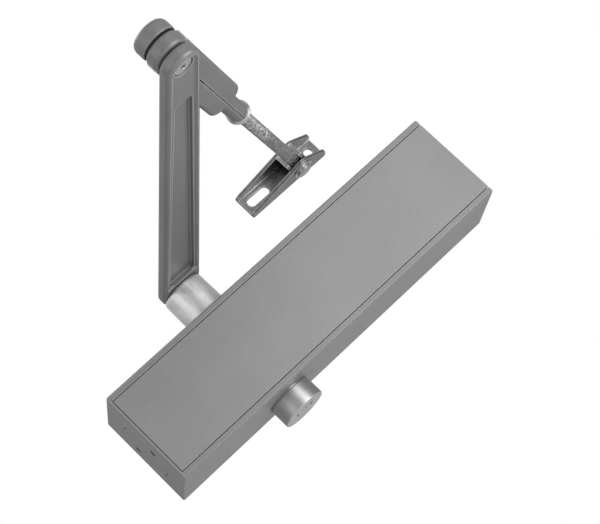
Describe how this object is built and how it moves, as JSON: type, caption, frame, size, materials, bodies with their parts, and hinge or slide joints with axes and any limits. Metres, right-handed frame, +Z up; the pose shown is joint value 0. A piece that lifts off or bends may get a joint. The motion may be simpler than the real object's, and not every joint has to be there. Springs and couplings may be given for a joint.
{
  "type": "door closer",
  "caption": "Surface-mounted rack-and-pinion door closer: box body with a front cover, a regular two-piece folding arm and a slotted frame bracket.",
  "frame": {"origin": "centre of the body's mounting holes on its back face", "axes": "+X along the body to the spring end, +Y into the door, +Z up along the spindle towards the arm"},
  "size_m": [0.237, 0.2912, 0.12],
  "materials": {
    "silver_paint": "satin silver-grey powder coat on aluminium",
    "cover_paint": "satin silver-grey powder coat on aluminium",
    "arm_paint": "silver-grey paint with fine flake",
    "satin_metal": "satin turned metal",
    "cast_metal": "bright cast metal",
    "zinc_steel": "bright zinc plate",
    "galvanised_steel": "rough galvanised thread",
    "shoe_steel": "pressed zinc-plated sheet",
    "machined_steel": "ground steel",
    "dark_steel": "blackened steel",
    "spring_steel": "oiled spring steel",
    "bearing_bronze": "sintered bronze",
    "black_nylon": "black nylon",
    "clip_plastic": "black moulded plastic",
    "seal_rubber": "black nitrile rubber"
  },
  "bodies": {
    "body": {"housing": "silver_paint", "front_cover": "cover_paint", "cover_clips": "clip_plastic", "valve_end_plug": "silver_paint", "spring_end_plug": "silver_paint", "end_plug_seals": "seal_rubber", "spindle_bearings": "bearing_bronze", "spindle_seals": "seal_rubber", "bearing_nuts": "satin_metal", "spindle_cap": "satin_metal", "closing_spring": "spring_steel"},
    "piston": {"piston": "machined_steel", "check_valve": "machined_steel"},
    "spindle": {"pinion_spindle": "machined_steel", "arm_hub": "cast_metal", "main_arm": "arm_paint", "arm_washer": "zinc_steel", "arm_screw": "zinc_steel", "elbow_pin": "zinc_steel", "elbow_spacer": "black_nylon", "elbow_washer": "black_nylon", "elbow_cap": "arm_paint"},
    "forearm": {"forearm_sleeve": "arm_paint", "elbow_bush": "bearing_bronze", "sleeve_collar": "zinc_steel"},
    "rod": {"adjusting_rod": "galvanised_steel", "rod_end": "zinc_steel"},
    "shoe": {"shoe": "shoe_steel", "shoe_pin": "zinc_steel", "shoe_washer": "zinc_steel"},
    "closing_valve": {"closing_speed_valve": "dark_steel"},
    "latching_valve": {"latching_speed_valve": "dark_steel"},
    "adjuster": {"spring_adjust_screw": "machined_steel"},
    "seat": {"spring_seat": "machined_steel"}
  },
  "joints": [
    {"name": "spindle_turn", "type": "hinge", "parent": "body", "child": "spindle", "pos_m": [-0.0405, -0.0195, 0], "axis": [0, 0, 1], "range_deg": [0, 170], "stiffness_Nm_per_rad": 4},
    {"name": "piston_slide", "type": "slide", "parent": "body", "child": "piston", "axis": [1, 0, 0], "range_m": [-0.0001, 0.024], "deforming": ["closing_spring"]},
    {"name": "elbow", "type": "hinge", "parent": "spindle", "child": "forearm", "pos_m": [-0.04462, -0.28147, 0], "axis": [0, 0, 1], "range_deg": [-150, 5]},
    {"name": "rod_adjust", "type": "slide", "parent": "forearm", "child": "rod", "axis": [0.373, 0.9278, 0], "range_m": [-0.016, 0.03]},
    {"name": "shoe_pivot", "type": "hinge", "parent": "rod", "child": "shoe", "pos_m": [0.0595, -0.0225, 0.0664], "axis": [0, 0, 1], "range_deg": [-100, 60]},
    {"name": "closing_speed_turn", "type": "hinge", "parent": "body", "child": "closing_valve", "pos_m": [-0.1185, -0.0097, 0.0055], "axis": [1, 0, 0], "range_deg": [-360, 360]},
    {"name": "latching_speed_turn", "type": "hinge", "parent": "body", "child": "latching_valve", "pos_m": [-0.1185, -0.0293, -0.0055], "axis": [1, 0, 0], "range_deg": [-360, 360]},
    {"name": "spring_power_turn", "type": "hinge", "parent": "body", "child": "adjuster", "pos_m": [0.1185, -0.0195, 0], "axis": [1, 0, 0], "range_deg": [0, 721]},
    {"name": "seat_slide", "type": "slide", "parent": "body", "child": "seat", "axis": [1, 0, 0], "range_m": [0, 0.003]}
  ],
  "couplings": [
    {"joint": "piston_slide", "follows": "spindle_turn", "m_per_rad": 0.008},
    {"joint": "spring_power_turn", "follows": "seat_slide", "rad_per_m": 4188.8}
  ]
}
